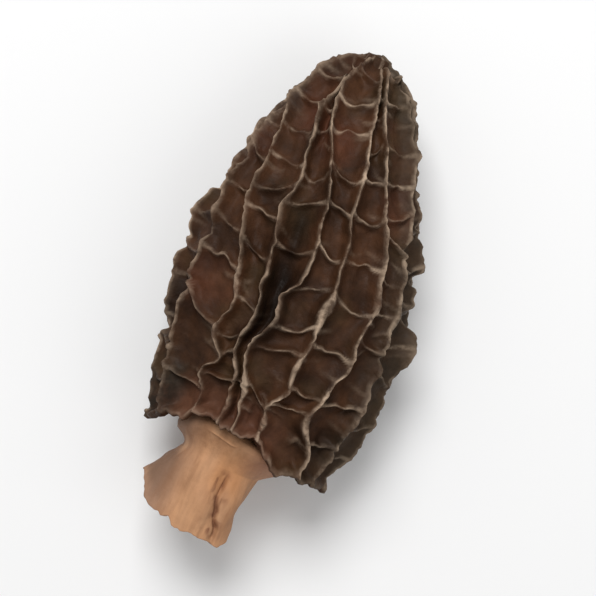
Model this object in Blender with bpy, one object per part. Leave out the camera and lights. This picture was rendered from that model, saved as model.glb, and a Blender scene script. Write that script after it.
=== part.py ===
"""A dried morel mushroom, lying on its side as picked: a hollow cap covered by a raised net of ridges and
ribs, on a short hollow stem that flares under the cap and to its cut end.

The form is worked out in millimetres in the cap's own frame, whose Y runs up the cap from the middle of its
lower margin, with X across it and Z towards the side that faces up. place() turns that into metres on the
surface that the mushroom lies on.
"""

import itertools
import math

import bmesh
import bpy
import numpy as np

MM = 0.001
SEED = 11

# ---- the cap's form, over the crests of its ridges: height, half width, half depth, middle in X and in Z
CAP_FORM = np.array(
    [
        (0.0, 13.9, 10.2, 0.0, 0.0),
        (5.0, 15.4, 11.3, 0.2, 0.0),
        (12.0, 17.2, 12.3, -0.2, 0.0),
        (20.0, 18.0, 12.7, -1.0, 0.0),
        (28.0, 17.5, 12.5, -1.9, 0.0),
        (36.0, 15.4, 11.4, -2.6, -0.1),
        (44.0, 12.4, 9.6, -3.3, -0.2),
        (51.0, 8.9, 7.3, -3.9, -0.4),
        (55.5, 6.0, 5.1, -4.3, -0.5),
        (58.2, 3.2, 2.8, -4.5, -0.6),
        (59.2, 0.0, 0.0, -4.6, -0.6),
    ]
)
# (degrees round, how far up the margin is lifted there), and how far up the side the lift fades out
MARGIN_LIFT = (
    (0, 0.7),
    (50, 1.0),
    (72, 2.2),
    (95, 3.2),
    (120, 3.3),
    (150, 0.8),
    (180, -0.8),
    (205, 0.6),
    (235, 1.4),
    (270, 1.4),
    (320, 1.0),
    (360, 0.7),
)
MARGIN_REACH = 14.0
FORM_LUMPS = 0.7
FORM_LUMP_SIZE = 13.0
LUMPS_FROM = 6.0
REST_DEPTH = 10.8
NORMAL_FROM = 0.3

# ---- the net: its ridges run up the cap and its ribs cross the channels between them
RIDGE_HEIGHT = 2.7
RIDGE_EVEN = 0.88
RIDGE_UNEVEN = 0.22
RIDGE_WAVE = 6.0
RIDGES_APART = 37.0
CREST_HALF = 0.32
FLANK_RUN = 1.0
WIDEST_CREST = 0.12
WIDEST_FOOT = 0.32
RIDGE_SWAY = 1.6
SWAY_LENGTHS = (2.6, 1.15)
SWAY_SHARES = (0.6, 0.4)
# each upper ridge's degrees round the cap at these lengths up the side
KNOT_HEIGHTS = (0, 10, 20, 30, 42, 51, 64)
UPPER_RIDGES = (
    (6, 10, 8, 9, 12, 20, 22),
    (27, 37, 34, 33, 34, 28, 30),
    (47, 62, 55, 54, 58, 65, 68),
    (81, 82, 76, 74, 76, 76, 76),
    (96, 101, 95, 88, 97, 113, 118),
    (104, 106, 108, 107, 113, 120, 126),
    (122, 120, 117, 126, 141, 158, 160),
    (147, 155, 148, 150, 159, 167, 168),
)
LOWER_RIDGES = 8
LOWER_SPACING = 23.5
LOWER_FIRST = 178.0
LOWER_JITTER = 2.5
LOWER_PINCH = 7.0
LOWER_PINCHED = 2
RIDGE_COUNT = len(UPPER_RIDGES) + LOWER_RIDGES
RIB_HEIGHT = 1.7
RIB_CREST = 0.1
RIB_HALF = 0.6
RIB_SAG = 0.7
RIB_DIP = 0.3
RIB_SPACING = (3.8, 6.2)
RIB_SLANT = 2.6
RIB_FREE_TIP = 5.0
# channel: each rib's length up the side at the channel's two ridges
UPPER_RIBS = {
    0: ((5.0, 4.0), (11.5, 10.0), (17.5, 18.5), (24.0, 23.0), (29.0, 30.0)),
    1: ((6.0, 5.0), (13.3, 11.2), (21.5, 22.5), (26.5, 26.0), (31.0, 32.0)),
    2: ((9.3, 7.5), (12.3, 12.0), (18.4, 18.6), (25.5, 26.0), (31.5, 30.5)),
    3: ((5.8, 10.2), (16.8, 14.9), (21.3, 18.8), (26.3, 24.0), (30.5, 31.5)),
    4: ((7.5, 8.5), (30.0, 29.0)),
    5: ((8.2, 7.0), (13.4, 11.4), (16.2, 14.8), (19.0, 20.2), (26.5, 28.0)),
    6: ((3.4, 6.7), (15.2, 19.0), (23.0, 24.5), (28.5, 30.0)),
}
MEAN_RADIUS = 15.0
# ridge: (length up the side, shift round the cap in mm, half length) where it bends aside
BENDS = {
    6: ((7.2, 1.2, 2.2), (11.3, -0.8, 1.6), (15.4, 0.9, 2.0), (19.8, -0.6, 2.0)),
    5: ((19.5, -1.3, 3.2),),
    4: ((14.4, 0.6, 2.0), (19.3, -0.7, 2.0), (23.0, 0.8, 1.8)),
    3: ((5.6, 0.5, 2.0), (12.0, -0.4, 2.4)),
    2: ((6.0, 0.9, 2.6), (3.0, -0.6, 1.4), (25.0, -1.0, 3.2)),
}
# ridge: (length up the side, depth, half length) of the gaps in its crest; below 0 is a lobe that stands out
NOTCHES = {
    0: ((17.6, 0.7, 1.2), (23.2, -1.1, 2.6), (27.6, 1.6, 1.3), (32.8, 1.3, 0.9), (39.5, 0.9, 1.2)),
    1: ((21.0, 0.6, 1.2), (35.0, 0.8, 1.4)),
    7: ((9.0, 0.9, 1.4), (18.6, 1.1, 1.3), (27.0, 0.9, 1.5), (38.0, 1.0, 1.2)),
    8: ((12.0, 0.8, 1.3), (24.0, 1.1, 1.4), (34.0, 0.9, 1.3)),
    15: ((8.0, 0.9, 1.4), (22.0, 1.0, 1.5), (36.0, 0.9, 1.3)),
}
RIM_HALF = 0.7
RIM_HEIGHTS = (0.55, 1.0)
TIP_CREST = 2.2
TIP_SHARE = 0.6
TIP_FADE = (1.0, 12.0)
TIP_CALM = (4.0, 14.0)

# ---- the hollow inside the cap, and the opening that the stem stands in
WALL = 1.8
CAVITY_BASE = 8.0
CAVITY_TOP = 53.0
OPENING_MIDDLE = (-2.6, 0.0)
OPENING_HALF = (6.3, 5.6)
OPENING_HEIGHTS = (4.4, 6.2)
RIM_THICK = 1.3
RIM_ROUND = 0.2

# ---- the stem: a tube that stands in the opening, with a flange that reaches out under the cap's margin
STEM_TOP = 7.6
TUBE_HALF = (5.9, 5.2)
SEAT_GAP = 0.3
# (degrees round, how far the flange reaches from the neck's middle)
FLANGE_REACH = (
    (0, 10.3),
    (45, 8.6),
    (90, 7.2),
    (135, 7.7),
    (180, 7.7),
    (225, 7.8),
    (270, 7.0),
    (315, 8.4),
    (360, 10.3),
)
FLANGE_DROP = 0.5
FLANGE_EDGE = 1.0
FLANGE_LIFT = 0.5
FLANGE_THICK = 0.9
FLANGE_BEVEL = 0.3
WEB_SHARE = 0.55
WEB_HOLLOW = 0.7
WEB_LEAN = 0.7
# the neck's height, half width, half depth and middle in X, then the cut lip as (degrees round, X, Y, Z)
NECK = (-2.4, 5.9, 5.2, -1.15)
LIP = (
    (0, 3.9, -10.5, 0.6),
    (45, 3.3, -12.4, 4.3),
    (90, -1.8, -11.9, 5.5),
    (135, -6.9, -10.9, 4.6),
    (180, -10.7, -7.3, 1.2),
    (225, -8.2, -8.8, -3.9),
    (270, -2.6, -10.3, -5.3),
    (315, 2.1, -10.7, -3.7),
    (360, 3.9, -10.5, 0.6),
)
STEM_WALL = 1.1
BORE_TURN = 2.0
FLUTES = 5
FLUTE_DEPTH = 0.45
FLUTE_PHASE = 0.8
# a hollow in the side the flange reaches out from, at a share of the way from the neck to the lip
WAIST_DEPTH = 0.9
WAIST_SHARE = 0.62
WAIST_REACH = 0.26
CREASE_ANGLE = 74.0
CREASE_TURN = 19.0
CREASE_WIDTH = 9.0
CREASE_DEPTH = 0.8
CREASE_START = 0.15

# ---- how finely the faces follow the form
CAP_ROWS = 56
CHANNEL_COLUMNS = 5
CAVITY_ROWS = 8
STEM_COLUMNS = 48
STEM_ROWS = 13
BORE_ROWS = 7
SHARP_DEGREES = 40.0

LATTICE_SIDE = 16
LATTICE = np.random.default_rng(SEED).random((LATTICE_SIDE,) * 3)


def curve(knots, values, at):
    """The smooth curve through values at knots, read at each of at."""
    knots, values, at = np.asarray(knots, float), np.asarray(values, float), np.asarray(at, float)
    slopes = np.gradient(values, knots, axis=0)
    i = np.clip(np.searchsorted(knots, at) - 1, 0, len(knots) - 2)
    span = knots[i + 1] - knots[i]
    t = np.clip((at - knots[i]) / span, 0, 1)
    rise = t * t * (3 - 2 * t)
    if values.ndim > 1:
        span, t, rise = span[..., None], t[..., None], rise[..., None]
    bend = span * t * (1 - t) * ((1 - t) * slopes[i] - t * slopes[i + 1])
    return values[i] * (1 - rise) + values[i + 1] * rise + bend


def noise(points, size):
    """Smooth noise from -1 to 1 at points, with lumps about size across."""
    scaled = np.asarray(points, float) / size
    cell = np.floor(scaled).astype(int)
    part = scaled - cell
    part = part * part * (3 - 2 * part)
    total = 0.0
    for corner in itertools.product((0, 1), repeat=3):
        weight = np.prod(np.where(corner, part, 1 - part), axis=-1)
        x, y, z = np.moveaxis((cell + corner) % LATTICE_SIDE, -1, 0)
        total = total + weight * LATTICE[x, y, z]
    return 2 * total - 1


def ramp(value, low, high):
    """0 below low, 1 above high and smooth between them."""
    t = np.clip((value - low) / (high - low), 0, 1)
    return t * t * (3 - 2 * t)


def round_table(table, angle):
    """A value given at angles round a full turn, read at any angle in radians."""
    table = np.asarray(table, float)
    return curve(table[:, 0], table[:, 1:], np.degrees(angle) % 360)


# ---- the cap's form


def form_lengths():
    """Length along the cap's side at each row of CAP_FORM, from the margin to the tip."""
    steps = np.hypot(np.diff(CAP_FORM[:, 0]), np.diff(CAP_FORM[:, 1]))
    return np.concatenate([[0], np.cumsum(steps)])


FORM_LENGTHS = form_lengths()
SIDE_LENGTH = FORM_LENGTHS[-1]


def cap_skin(angle, along, inset=0.0):
    """Points of the cap's form at angles round it and lengths up its side, drawn in by inset."""
    height, wide, deep, middle_x, middle_z = np.moveaxis(curve(FORM_LENGTHS, CAP_FORM, along), -1, 0)
    lift = round_table(MARGIN_LIFT, angle)[..., 0] * (1 - ramp(along, 0, MARGIN_REACH))
    wide, deep = np.maximum(wide - inset, 0), np.maximum(deep - inset, 0)
    return np.stack([middle_x + wide * np.cos(angle), height + lift, middle_z + deep * np.sin(angle)], axis=-1)


def cap_normal(angle, along):
    """Outward directions of the cap's form, and its length in mm for each radian round it."""
    along = np.clip(along, NORMAL_FROM, SIDE_LENGTH - NORMAL_FROM)
    step = 1e-3
    round_it = (cap_skin(angle + step, along) - cap_skin(angle - step, along)) / (2 * step)
    up_it = (cap_skin(angle, along + step) - cap_skin(angle, along - step)) / (2 * step)
    normal = np.cross(up_it, round_it)
    return normal / np.linalg.norm(normal, axis=-1, keepdims=True), np.linalg.norm(round_it, axis=-1)


# ---- the net of ridges and ribs


def lay_ridges(random):
    """Each ridge's angle at KNOT_HEIGHTS. The upper side's are laid one by one; below, they follow a rule."""
    ridges = [np.array(ridge, float) for ridge in UPPER_RIDGES]
    for number in range(LOWER_RIDGES):
        jitter = random.uniform(-LOWER_JITTER, LOWER_JITTER, len(KNOT_HEIGHTS))
        angles = LOWER_FIRST + number * LOWER_SPACING + jitter
        angles[-LOWER_PINCHED:] += LOWER_PINCH if number % 2 == 0 else -LOWER_PINCH
        ridges.append(angles)
    return ridges


def lay_ribs(random):
    """Each channel's ribs as (height at its first ridge, height at its second), from the margin to the tip."""
    channels = []
    for channel in range(RIDGE_COUNT):
        ribs = list(UPPER_RIBS.get(channel, ()))
        top = max(ribs[-1]) if ribs else 0.0
        while True:
            top += random.uniform(*RIB_SPACING)
            if top > SIDE_LENGTH - RIB_FREE_TIP:
                break
            slant = random.uniform(-RIB_SLANT, RIB_SLANT) / 2
            ribs.append((top - slant, top + slant))
        channels.append(ribs)
    return channels


RANDOM = np.random.default_rng(SEED)
RIDGES = lay_ridges(RANDOM)
RIBS = lay_ribs(RANDOM)
RIDGE_PHASES = RANDOM.uniform(0, 2 * math.pi, (RIDGE_COUNT, 2))
RIM_STRENGTH = RANDOM.uniform(*RIM_HEIGHTS, RIDGE_COUNT)


def ridge_angle(ridge, along):
    """A ridge's angle round the cap in radians, with its slow bends and its short sway."""
    turns, number = divmod(ridge, RIDGE_COUNT)
    sway = 0.0
    for share, length, phase in zip(SWAY_SHARES, SWAY_LENGTHS, RIDGE_PHASES[number]):
        sway = sway + RIDGE_SWAY * share * np.sin(along / length + phase)
    laid = curve(KNOT_HEIGHTS, RIDGES[number], along)
    for middle, aside, reach in BENDS.get(number, ()):
        laid = laid + np.degrees(aside / MEAN_RADIUS) * np.exp(-(((along - middle) / reach) ** 2))
    return np.radians(360 * turns + laid + sway * ramp(SIDE_LENGTH - along, *TIP_CALM))


def ridge_height(ridge, along):
    """How far a ridge stands above the pits' floors, which is less at the tip."""
    number = ridge % RIDGE_COUNT
    spot = np.stack([np.full_like(along, RIDGES_APART * number), along, np.zeros_like(along)], axis=-1)
    fade = TIP_SHARE + (1 - TIP_SHARE) * ramp(SIDE_LENGTH - along, *TIP_FADE)
    height = RIDGE_HEIGHT * (RIDGE_EVEN + RIDGE_UNEVEN * noise(spot, RIDGE_WAVE))
    for middle, depth, reach in NOTCHES.get(number, ()):
        height = height - depth * np.exp(-(((along - middle) / reach) ** 4))
    return height * fade


def wall_profile(distance, half, run):
    """1 on a crest, falling to 0 at the foot of its flank."""
    return 1 - ramp(distance, half, half + run)


def rib_line(rib, across):
    """A rib's height up the cap's side at a share of the way across its channel."""
    first, second = rib
    return first + (second - first) * across - RIB_SAG * 4 * across * (1 - across)


def channel_relief(channel, across, along):
    """Angle, and height of the skin above the floors, at a share across a channel and a length up the side."""
    first, second = ridge_angle(channel, along), ridge_angle(channel + 1, along)
    angle = first + (second - first) * across
    width = cap_normal(angle, along)[1] * (second - first)
    walls = np.maximum(
        ridge_height(channel, along) * wall_profile(across * width, CREST_HALF, FLANK_RUN),
        ridge_height(channel + 1, along) * wall_profile((1 - across) * width, CREST_HALF, FLANK_RUN),
    )
    rim = RIM_STRENGTH[channel] * wall_profile(along, RIM_HALF, FLANK_RUN)
    tip = TIP_SHARE * wall_profile(SIDE_LENGTH - along, TIP_CREST, FLANK_RUN)
    ribs = np.maximum(rim, tip) * RIDGE_HEIGHT
    for rib in RIBS[channel]:
        dipped = RIB_HEIGHT * (1 - RIB_DIP * 4 * across * (1 - across))
        beside = np.abs(along - rib_line(rib, across))
        ribs = np.maximum(ribs, dipped * wall_profile(beside, RIB_CREST, RIB_HALF))
    return angle, width, np.maximum(walls, ribs)


def cap_surface(angle, along, height):
    """Points of the cap's outer skin for a relief of that height, flattened where it lies on the surface."""
    normal = cap_normal(angle, along)[0]
    points = cap_skin(angle, along)
    lumps = FORM_LUMPS * noise(points, FORM_LUMP_SIZE) * ramp(along, 0, LUMPS_FROM)
    points = points + normal * (height - RIDGE_HEIGHT + lumps)[..., None]
    points[..., 2] = np.maximum(points[..., 2], -REST_DEPTH)
    return points


# ---- the cap's mesh


def spread(marks, rows):
    """Rows through every mark, with the spare ones shared out over the widest gaps."""
    gaps = np.diff(marks)
    steps = np.ones(len(gaps), int)
    for _ in range(rows - len(marks)):
        steps[np.argmax(gaps / steps)] += 1
    return steps


def channel_rows(channel, across):
    """Lengths up the side of the rows down one column of a channel: three on each rib, others between."""

    def marks(share):
        found = [0.0, RIM_HALF + FLANK_RUN]
        for rib in RIBS[channel]:
            found += [rib_line(rib, share) + offset for offset in (-RIB_HALF, 0, RIB_HALF)]
        found += [SIDE_LENGTH - short for short in (TIP_CREST + FLANK_RUN, TIP_CREST / 2, 0)]
        return np.array(found)

    steps = spread(marks(0.5), CAP_ROWS)
    here = np.sort(marks(across))
    pieces = [np.linspace(a, b, n + 1)[:-1] for a, b, n in zip(here, here[1:], steps)]
    return np.concatenate([*pieces, here[-1:]])


def channel_columns(channel):
    """One channel's columns, each as arrays of (angle, along, height): crest, foot, middle, foot, crest."""
    columns = []
    for kind in range(CHANNEL_COLUMNS):
        side = kind / (CHANNEL_COLUMNS - 1)
        along = channel_rows(channel, side)
        if kind in (0, CHANNEL_COLUMNS - 1):
            beyond = channel - 1 if kind == 0 else channel + 1
            along = (along + channel_rows(beyond % RIDGE_COUNT, 1 - side)) / 2
        width = channel_relief(channel, np.full_like(along, side), along)[1]
        crest = np.minimum(CREST_HALF / width, WIDEST_CREST)
        foot = np.minimum((CREST_HALF + FLANK_RUN) / width, WIDEST_FOOT)
        across = (crest, foot, np.full_like(width, 0.5), 1 - foot, 1 - crest)[kind]
        angle, _, height = channel_relief(channel, across, along)
        columns.append((angle, along, height))
    return columns


def cap_inside(angle, margin):
    """A column's points from the margin's rim up the underside, through the opening and up the hollow."""
    toward = np.array([math.cos(angle), 0, math.sin(angle)])
    opening = np.array([OPENING_MIDDLE[0] + OPENING_HALF[0] * toward[0], 0, OPENING_HALF[1] * toward[2]])
    low, high = (opening + (0, height, 0) for height in OPENING_HEIGHTS)
    rim = margin - toward * RIM_THICK + (0, RIM_ROUND, 0)
    lengths = np.linspace(CAVITY_BASE, CAVITY_TOP, CAVITY_ROWS)
    hollow = cap_skin(np.full(CAVITY_ROWS, angle), lengths, RIDGE_HEIGHT + WALL)
    hollow[-1] = cap_skin(0.0, CAVITY_TOP, CAP_FORM[:, 1].max())
    return np.array([rim, (rim + low) / 2, low, high, *hollow])


def cap_columns():
    """Every column of the cap's skin in turn, each an array of points: tip to margin, then the hollow."""
    columns = []
    for channel in range(RIDGE_COUNT):
        for angle, along, height in channel_columns(channel):
            outer = cap_surface(angle, along, height)[::-1]
            outer[0] = cap_skin(0.0, SIDE_LENGTH) - (0, (1 - TIP_SHARE) * RIDGE_HEIGHT, 0)
            columns.append(np.concatenate([outer, cap_inside(angle[0], outer[-1])]))
    return columns


# ---- the stem's mesh


def stem_outline(angle, share):
    """Point on the stem's outside at an angle round it, from its neck (share 0) to its cut lip (share 1)."""
    height, wide, deep, middle = NECK
    neck = np.array([middle + wide * math.cos(angle), height, deep * math.sin(angle)])
    lip = round_table(LIP, angle)
    line = neck * (1 - share) + lip * share
    swell = FLUTE_DEPTH * share * math.sin(FLUTES * angle + FLUTE_PHASE)
    turned = (math.degrees(angle) - CREASE_ANGLE + CREASE_TURN * share) / CREASE_WIDTH
    crease = CREASE_DEPTH * math.exp(-turned * turned) * math.sin(math.pi * min(1.0, CREASE_START + share))
    waist = WAIST_DEPTH * max(math.cos(angle), 0.0) * math.exp(-(((share - WAIST_SHARE) / WAIST_REACH) ** 2))
    return line + np.array([math.cos(angle), 0, math.sin(angle)]) * (swell - crease - waist)


def stem_columns():
    """Columns round the stem: down its tube, along its flange and back, down to the lip, then up the bore."""
    columns = []
    for angle in np.linspace(0, 2 * math.pi, STEM_COLUMNS, endpoint=False):
        toward = np.array([math.cos(angle), 0, math.sin(angle)])
        tube = np.array([OPENING_MIDDLE[0] + TUBE_HALF[0] * toward[0], 0, TUBE_HALF[1] * toward[2]])
        seat = tube + (0, OPENING_HEIGHTS[0] - FLANGE_DROP - SEAT_GAP, 0)
        reach = round_table(FLANGE_REACH, angle)[0]
        lift = FLANGE_LIFT * round_table(MARGIN_LIFT, angle)[0]
        edge = np.array([NECK[3] + reach * toward[0], FLANGE_EDGE + lift, reach * toward[2]])
        back = edge - toward * FLANGE_BEVEL - (0, FLANGE_THICK, 0)
        hollow = WEB_HOLLOW * (1 - WEB_LEAN * toward[0])
        web = back * (1 - WEB_SHARE) + stem_outline(angle, 0.0) * WEB_SHARE - toward * hollow
        outside = [stem_outline(angle, share) for share in np.linspace(0, 1, STEM_ROWS)]
        inner = [point - toward * STEM_WALL for point in outside[::-1]]
        bore = [inner[i] for i in np.linspace(0, STEM_ROWS - 1, BORE_ROWS).astype(int)]
        bore += [tube - toward * STEM_WALL + (0, height, 0) for height in (BORE_TURN, STEM_TOP)]
        top = [tube + (0, STEM_TOP, 0), seat, (seat + edge) / 2]
        columns.append(np.array([*top, edge, back, web, *outside, *bore]))
    return columns


# ---- objects


def box_middle(*pieces):
    """The middle in X and Y of the box round every column of the pieces."""
    points = np.concatenate([column for piece in pieces for column in piece])[:, :2]
    return (points.min(axis=0) + points.max(axis=0)) / 2


def place(point, middle):
    """A point of the cap's frame in metres, lying on the surface with middle over the origin."""
    return ((point[0] - middle[0]) * MM, (point[1] - middle[1]) * MM, (point[2] + REST_DEPTH) * MM)


def wrapped_grid(name, columns, closed_ends, middle):
    """A closed object from a grid wrapped round its columns. closed_ends joins each column's two ends."""
    across, down = len(columns), len(columns[0])
    rows = down if closed_ends else down - 1
    mesh = bmesh.new()
    bmesh.ops.create_grid(mesh, x_segments=across, y_segments=rows, size=0.5)
    for vertex in mesh.verts:
        column = round((vertex.co.x + 0.5) * across) % across
        row = round((vertex.co.y + 0.5) * rows) % down
        vertex.co = place(columns[column][row], middle)
    bmesh.ops.remove_doubles(mesh, verts=mesh.verts, dist=1e-7)
    bmesh.ops.triangulate(mesh, faces=mesh.faces)
    bmesh.ops.recalc_face_normals(mesh, faces=mesh.faces)
    data = bpy.data.meshes.new(name)
    mesh.to_mesh(data)
    mesh.free()
    data.shade_smooth()
    data.set_sharp_from_angle(angle=math.radians(SHARP_DEGREES))
    made = bpy.data.objects.new(name, data)
    bpy.context.scene.collection.objects.link(made)
    return made


def finish_with(made, colour, roughness):
    """Gives an object its own plain material."""
    material = bpy.data.materials.new(made.name)
    material.use_nodes = True
    shader = material.node_tree.nodes["Principled BSDF"]
    shader.inputs["Base Color"].default_value = (*colour, 1)
    shader.inputs["Roughness"].default_value = roughness
    made.data.materials.append(material)


def main():
    """The mushroom's two pieces, in place."""
    for old in list(bpy.data.objects):
        bpy.data.objects.remove(old)
    cap, stem = cap_columns(), stem_columns()
    middle = box_middle(cap, stem)
    finish_with(wrapped_grid("cap", cap, False, middle), (0.045, 0.027, 0.018), 0.7)
    finish_with(wrapped_grid("stem", stem, True, middle), (0.43, 0.24, 0.125), 0.75)


main()
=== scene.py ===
"""A dried morel mushroom lying on its side: a dark net of ridges and pits on a pale crumpled stem."""

import itertools
import math

import bmesh
import bpy
import numpy as np
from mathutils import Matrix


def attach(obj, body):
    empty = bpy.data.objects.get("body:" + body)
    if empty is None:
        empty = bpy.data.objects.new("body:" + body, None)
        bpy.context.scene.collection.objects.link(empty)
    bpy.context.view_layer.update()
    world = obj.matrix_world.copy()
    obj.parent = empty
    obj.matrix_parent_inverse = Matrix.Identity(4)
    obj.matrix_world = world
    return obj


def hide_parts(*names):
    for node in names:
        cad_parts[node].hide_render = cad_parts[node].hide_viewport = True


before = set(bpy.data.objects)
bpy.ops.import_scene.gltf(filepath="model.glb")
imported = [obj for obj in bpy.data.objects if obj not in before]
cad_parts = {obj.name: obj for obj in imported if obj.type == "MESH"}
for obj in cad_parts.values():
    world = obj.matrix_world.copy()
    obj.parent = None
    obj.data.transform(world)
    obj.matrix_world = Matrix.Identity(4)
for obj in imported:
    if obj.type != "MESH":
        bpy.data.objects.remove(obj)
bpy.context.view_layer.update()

MM = 0.001
SEED = 11

# ---- the cap's form, over the crests of its ridges: height, half width, half depth, middle in X and in Z
CAP_FORM = np.array(
    [
        (0.0, 13.9, 10.2, 0.0, 0.0),
        (5.0, 15.4, 11.3, 0.2, 0.0),
        (12.0, 17.2, 12.3, -0.2, 0.0),
        (20.0, 18.0, 12.7, -1.0, 0.0),
        (28.0, 17.5, 12.5, -1.9, 0.0),
        (36.0, 15.4, 11.4, -2.6, -0.1),
        (44.0, 12.4, 9.6, -3.3, -0.2),
        (51.0, 8.9, 7.3, -3.9, -0.4),
        (55.5, 6.0, 5.1, -4.3, -0.5),
        (58.2, 3.2, 2.8, -4.5, -0.6),
        (59.2, 0.0, 0.0, -4.6, -0.6),
    ]
)
# (degrees round, how far the cap's margin is lifted there)
MARGIN_LIFT = (
    (0, 0.7),
    (50, 1.0),
    (72, 2.2),
    (95, 3.2),
    (120, 3.3),
    (150, 0.8),
    (180, -0.8),
    (205, 0.6),
    (235, 1.4),
    (270, 1.4),
    (320, 1.0),
    (360, 0.7),
)
LIFT_SPAN = (0, 14)
FORM_LUMPS = 0.7
# how far from the two ends of the side, and over what step, the form's slope is measured
SLOPE_END = 0.3
SLOPE_STEP = 1e-3
REST_DEPTH = 10.8
MIDDLE = (-0.90214, 22.82933)

# ---- the net. Lengths are in mm.
RIDGE_HEIGHT = 2.7
RIDGE_SWAY = 1.6
SWAYS = ((0.6, 2.6), (0.4, 1.15))
TIP_CALM = (4, 14)
MEAN_RADIUS = 15.0
# the ridges of the upper side, in degrees round the cap at these lengths up its side
KNOT_HEIGHTS = (0, 10, 20, 30, 42, 51, 64)
UPPER_RIDGES = (
    (6, 10, 8, 9, 12, 20, 22),
    (27, 37, 34, 33, 34, 28, 30),
    (47, 62, 55, 54, 58, 65, 68),
    (81, 82, 76, 74, 76, 76, 76),
    (96, 101, 95, 88, 97, 113, 118),
    (104, 106, 108, 107, 113, 120, 126),
    (122, 120, 117, 126, 141, 158, 160),
    (147, 155, 148, 150, 159, 167, 168),
)
LOWER_RIDGES = 8
LOWER_SPACING = 23.5
LOWER_FIRST = 178.0
LOWER_JITTER = 2.5
LOWER_PINCH = 7.0
LOWER_PINCHED = 2
RIDGE_COUNT = len(UPPER_RIDGES) + LOWER_RIDGES
RIB_HEIGHT = 1.9
RIB_SAG = 0.7
RIB_SPACING = (3.8, 6.2)
RIB_SLANT = 2.6
RIBS_STOP = 5
# channel between two ridges: its ribs, as (length up the side at its first ridge, at its second)
UPPER_RIBS = {
    0: ((5.0, 4.0), (11.5, 10.0), (17.5, 18.5), (24.0, 23.0), (29.0, 30.0)),
    1: ((6.0, 5.0), (13.3, 11.2), (21.5, 22.5), (26.5, 26.0), (31.0, 32.0)),
    2: ((9.3, 7.5), (12.3, 12.0), (18.4, 18.6), (25.5, 26.0), (31.5, 30.5)),
    3: ((5.8, 10.2), (16.8, 14.9), (21.3, 18.8), (26.3, 24.0), (30.5, 31.5)),
    4: ((7.5, 8.5), (30.0, 29.0)),
    5: ((8.2, 7.0), (13.4, 11.4), (16.2, 14.8), (19.0, 20.2), (26.5, 28.0)),
    6: ((3.4, 6.7), (15.2, 19.0), (23.0, 24.5), (28.5, 30.0)),
}
TIP_CREST = 2.2
TIP_SHARE = 0.6
TIP_FADE = (1, 12)
# every second ridge, then every second one left, dies out over these distances short of the tip
TIP_ENDS = {1: (10.0, 5.0), 2: (6.0, 2.5)}
TIP_END_SHARE = 0.75

# ---- how the skin of the net is drawn out: its crests, bowls, folds and wrinkles. Lengths are in mm.
CREST_HALF = 0.13
CREST_SWELL = 0.09
SMALL_SWELL = 0.08
LEAST_CREST_HALF = 0.06
CREST_ROUND = 0.06
CREST_MEANDER = 0.42
CREST_LEAN = 1.0
LEAN_POWER = 1.5
LEAST_HEIGHT = 1e-6
TIP_UPRIGHT = (3, 12)
MARGIN_UPRIGHT = (0, 4)
WALL_RUN = 1.25
BOWL_RUN = 3.3
BOWL_POWER = 1.8
WALL_SHARE = 0.6
FULL_CHANNEL = 5.5
LEAST_ROOM = 0.35
RIDGE_RISE = (0.88, 0.22)
NICK_DEPTH = 0.42
NICK_BIAS = 0.3
RAGGED = 0.16
SMALL_SHARE = 0.5
RIB_HALF = 0.07
RIB_HALF_RANGE = (1.1, 0.8)
LEAST_RIB_HALF = 0.04
RIB_END_SWELL = 0.18
RIB_WALL_RUN = 0.9
RIB_BOWL_RUN = 2.6
RIB_MEANDER = 0.55
SMALL_RIB_SHARE = 0.4
RIB_SAG_RANGE = (0.6, 0.9)
RIB_STRENGTH = (0.80, 0.34)
RIB_DIP = 0.34
RIB_FADE = 0.25
RIB_FADE_SPAN = (0.4, 0.9)
JOIN_POWER = 4.0
CRUMPLE_DEPTH = 0.30
WRINKLE_DEPTH = 0.12
SMALL_WRINKLE_SHARE = 0.2
VEIN_HEIGHT = 0.22
VEIN_POWER = 7
CRUMPLE_SPAN = (0.3, 2.4)
VEIN_SPAN = (1.2, 2.4)
LUMPS_SPAN = (0, 6)
TIP_SMOOTH_SPAN = (0, 3)
RIM_RUNS = (0.8, 2.0)
RIM_RANGE = (0.55, 1.0)
TIP_RUNS = (0.8, 1.8)
SPURS_EACH = 12
SPUR_ENDS = (3, 6)
SPUR_STRENGTH = (0.5, 1.0)
SPUR_HEIGHT = 0.55
SPUR_HALF = 0.12
SPUR_RUNS = (0.8, 1.5)
SPUR_REACH = 0.5
SPUR_REACH_POWER = 0.8
SPUR_SLANT = 2.4
SPUR_WANDER = 0.5

# ---- how pale the crests are
CREST_CORE = 0.7
CREST_FRINGE = 0.16
WORN_SHARE = 0.5
WORN_SPAN = (-0.75, 0.35)
RIB_CORE = 0.6
RIB_FRINGE = 0.14
RIB_END_FRINGE = 0.2
RIB_PALENESS = (0.7, 0.3)
RIB_PALE_SPAN = (-0.8, 0.2)
RIB_DULLING = 0.6
SPUR_PALENESS = 0.35
SPUR_PALE_SPAN = (0.05, 0.5)
MARGIN_PALENESS = 0.3
MARGIN_PALE_SPAN = (0.1, 0.7)
TIP_DULLING = 0.5
TIP_DULL_SPAN = (1, 8)

# ---- what makes each rib and spur its own: a number for each, and the rate at which its sine turns with it
RIB_KEYS_EACH = 40
SPUR_KEYS = 700
OWN_SAG, OWN_STRENGTH, OWN_FADE, OWN_PALENESS, OWN_SLANT = 2.9, 7.7, 5.1, 3.1, 5.3

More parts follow.
